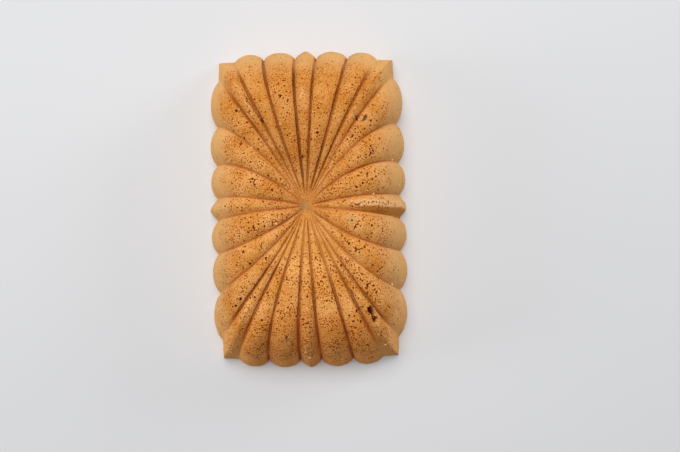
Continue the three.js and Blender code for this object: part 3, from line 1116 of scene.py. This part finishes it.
def add_attribute(tree, name):
    attribute = tree.nodes.new("ShaderNodeAttribute")
    attribute.attribute_name = name
    return attribute.outputs["Fac"]


def add_texture(tree, kind, size):
    """Texture over the object's own coordinates, with a size in millimetres."""
    place = tree.nodes.new("ShaderNodeTexCoord")
    texture = tree.nodes.new(kind)
    texture.inputs["Scale"].default_value = 1 / (size * METRES)
    tree.links.new(place.outputs["Object"], texture.inputs["Vector"])
    return texture


def add_noise(tree, noise):
    texture = add_texture(tree, "ShaderNodeTexNoise", noise.size)
    texture.inputs["Detail"].default_value = noise.detail
    return texture.outputs["Fac"]


def add_range(tree, value, ramp, lowest=0.0, highest=1.0):
    """Turns a value that runs along a ramp into one from the lowest to the highest."""
    ranged = tree.nodes.new("ShaderNodeMapRange")
    ranged.inputs["From Min"].default_value = ramp.start
    ranged.inputs["From Max"].default_value = ramp.end
    ranged.inputs["To Min"].default_value = lowest
    ranged.inputs["To Max"].default_value = highest
    tree.links.new(value, ranged.inputs["Value"])
    return ranged.outputs["Result"]


def add_mix(tree, share, first, second):
    """Mixes two colours, each a colour or the output of another node."""
    mix = tree.nodes.new("ShaderNodeMix")
    mix.data_type = "RGBA"
    tree.links.new(share, mix.inputs["Factor"])
    for socket, colour in (("A", first), ("B", second)):
        target = next(s for s in mix.inputs if s.name == socket and s.type == "RGBA")
        if isinstance(colour, tuple):
            target.default_value = colour
        else:
            tree.links.new(colour, target)
    return next(s for s in mix.outputs if s.type == "RGBA")


def add_math(tree, operation, first, second):
    node = tree.nodes.new("ShaderNodeMath")
    node.operation = operation
    for socket, value in zip(node.inputs, (first, second)):
        tree.links.new(value, socket)
    return node.outputs["Value"]


def add_tint(tree, colour, tint):
    share = add_range(tree, add_attribute(tree, tint.area), Ramp(0, 1), 0, tint.share)
    return add_mix(tree, share, colour, tint.colour)


def add_grains(tree, colour):
    """Lays fine dark and light grains over the colour, where the crust is grainy."""
    grain = add_noise(tree, CRUST_GRAIN)
    grainy = add_attribute(tree, "grainy")
    dark = add_range(tree, grain, GRAINS_DARK, 0, DARK_GRAIN_SHARE)
    colour = add_mix(tree, add_math(tree, "MULTIPLY", dark, grainy), colour, GRAIN_DARK)
    light = add_range(tree, grain, GRAINS_LIGHT, 0, LIGHT_GRAIN_SHARE)
    return add_mix(tree, add_math(tree, "MULTIPLY", light, grainy), colour, GRAIN_LIGHT)


def add_pore_shade_spots(tree, colour):
    """Lays painted shade of fine pores over the colour, as dark spots, where the crust is porous."""
    cells = add_texture(tree, "ShaderNodeTexVoronoi", SPOT_CELL)
    chance = tree.nodes.new("ShaderNodeSeparateColor")
    tree.links.new(cells.outputs["Color"], chance.inputs["Color"])
    radius = add_range(tree, chance.outputs["Red"], SPOTTED_CELLS, SMALLEST_SPOT, LARGEST_SPOT)
    radius = add_math(tree, "MULTIPLY", radius, add_attribute(tree, "porous"))
    inside = add_math(tree, "SUBTRACT", radius, cells.outputs["Distance"])
    return add_mix(tree, add_range(tree, inside, SPOT_EDGE), colour, PORE_SHADE)


def add_bumps(tree, shader, noise, height):
    bump = tree.nodes.new("ShaderNodeBump")
    bump.inputs["Distance"].default_value = height * METRES
    tree.links.new(add_noise(tree, noise), bump.inputs["Height"])
    tree.links.new(bump.outputs["Normal"], shader.inputs["Normal"])


def crust_material():
    material, tree, shader = new_material("golden_crust")
    patches = add_range(tree, add_noise(tree, CRUST_PATCHES), PATCHES_LIGHT)
    colour = add_mix(tree, patches, CRUST_DARK, CRUST_LIGHT)
    colour = add_tint(tree, colour, GROOVE_SHADE_TINT)
    wall_colour_and_light = add_mix(tree, add_attribute(tree, "front"), WALL_COLOUR_AND_SHEEN, FRONT_PAINTED_LIGHT)
    colour = add_tint(tree, colour, Tint("wall", WALL_SHARE, wall_colour_and_light))
    colour = add_grains(tree, colour)
    for tint in SKIN_TINTS:
        colour = add_tint(tree, colour, tint)
    colour = add_pore_shade_spots(tree, colour)
    for tint in HOLE_SHADE_TINTS:
        colour = add_tint(tree, colour, tint)
    tree.links.new(colour, shader.inputs["Base Color"])
    add_bumps(tree, shader, CRUST_BUMPS, CRUST_BUMP_HEIGHT)
    shader.inputs["Roughness"].default_value = 0.9
    shader.inputs["Specular IOR Level"].default_value = 0.0
    return material


def crumb_material():
    material, tree, shader = new_material("pale_crumb")
    colour = add_mix(tree, add_noise(tree, CRUMB_GRAIN), TORN_COLOUR, CRUMB_COLOUR)
    tree.links.new(colour, shader.inputs["Base Color"])
    add_bumps(tree, shader, CRUMB_BUMPS, CRUMB_BUMP_HEIGHT)
    shader.inputs["Roughness"].default_value = 0.95
    shader.inputs["Specular IOR Level"].default_value = 0.2
    return material


def table_material():
    material, tree, shader = new_material("pale_table")
    shader.inputs["Base Color"].default_value = TABLE_COLOUR
    shader.inputs["Roughness"].default_value = 0.7
    shader.inputs["Specular IOR Level"].default_value = 0.2
    return material


# Table, in metres
TABLE_SIZE = 6.0

# Camera: the photo's size and the cake's middle in pixels, the table under one pixel, the camera's height,
# how far it stands to the front of the picture's middle, and its turn in degrees
IMAGE_WIDTH = 680
IMAGE_HEIGHT = 452
CAKE_PIXEL_X = 308.6
CAKE_PIXEL_Y = 208.6
TABLE_PER_PIXEL = 0.682
CAMERA_HEIGHT = 512.0
CAMERA_TO_FRONT = 12.0
CAMERA_ROLL = -1.15
SENSOR_WIDTH = 36.0

# Soft lights: degrees from the back towards the left, degrees above the table, size in metres and power
Light = namedtuple("Light", "name azimuth elevation size power")
LIGHTS = [
    Light("back", 16.0, 71.0, 1.2, 23.5),
    Light("left", 90.0, 17.0, 0.8, 7.0),
    Light("right", -60.0, 19.0, 0.8, 7.6),
]
LIGHT_DISTANCE = 1.6
WORLD_STRENGTH = 0.13


def add_table():
    bpy.ops.mesh.primitive_plane_add(size=TABLE_SIZE)
    table = bpy.context.object
    table.name = "table"
    table.data.materials.append(table_material())


def add_light(light):
    elevation = math.radians(light.elevation)
    azimuth = math.radians(light.azimuth)
    level = Vector((-math.sin(azimuth), math.cos(azimuth), 0)) * math.cos(elevation)
    towards = level + Vector((0, 0, math.sin(elevation)))
    data = bpy.data.lights.new(light.name, "AREA")
    data.shape = "DISK"
    data.size = light.size
    data.energy = light.power
    lamp = bpy.data.objects.new(light.name, data)
    bpy.context.scene.collection.objects.link(lamp)
    lamp.location = towards * LIGHT_DISTANCE
    lamp.rotation_mode = "QUATERNION"
    lamp.rotation_quaternion = towards.to_track_quat("Z", "Y")
    lamp.visible_camera = False


def add_room_light():
    world = bpy.data.worlds.new("room")
    world.use_nodes = True
    background = world.node_tree.nodes["Background"]
    background.inputs["Color"].default_value = WHITE
    background.inputs["Strength"].default_value = WORLD_STRENGTH
    bpy.context.scene.world = world
    bpy.context.scene.view_settings.view_transform = "Standard"


def add_camera():
    """Above the table and a little to the front of the picture's middle, turned as the photo is."""
    roll = math.radians(CAMERA_ROLL)
    right = Vector((math.cos(roll), math.sin(roll), 0))
    up = Vector((-math.sin(roll), math.cos(roll), 0))
    aim = right * (IMAGE_WIDTH / 2 - CAKE_PIXEL_X) * TABLE_PER_PIXEL
    aim -= up * (IMAGE_HEIGHT / 2 - CAKE_PIXEL_Y) * TABLE_PER_PIXEL
    place = aim - up * CAMERA_TO_FRONT + Vector((0, 0, CAMERA_HEIGHT))
    back = (place - aim).normalized()
    data = bpy.data.cameras.new("camera")
    data.sensor_width = SENSOR_WIDTH
    data.lens = SENSOR_WIDTH * CAMERA_HEIGHT / TABLE_PER_PIXEL / IMAGE_WIDTH
    camera = bpy.data.objects.new("camera", data)
    bpy.context.scene.collection.objects.link(camera)
    turn = Matrix((right, back.cross(right), back)).transposed().to_4x4()
    camera.matrix_world = Matrix.Translation(place * METRES) @ turn
    bpy.context.scene.camera = camera


crust = make_crust()
cake = make_cake(crust)
cake.data.materials.append(crust_material())
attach(cake, "root")
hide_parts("cake")

crumbs = make_crumbs(crust, finished_points(crust))
crumbs.data.materials.append(crumb_material())
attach(crumbs, "root")

add_table()
for light in LIGHTS:
    add_light(light)
add_room_light()
add_camera()
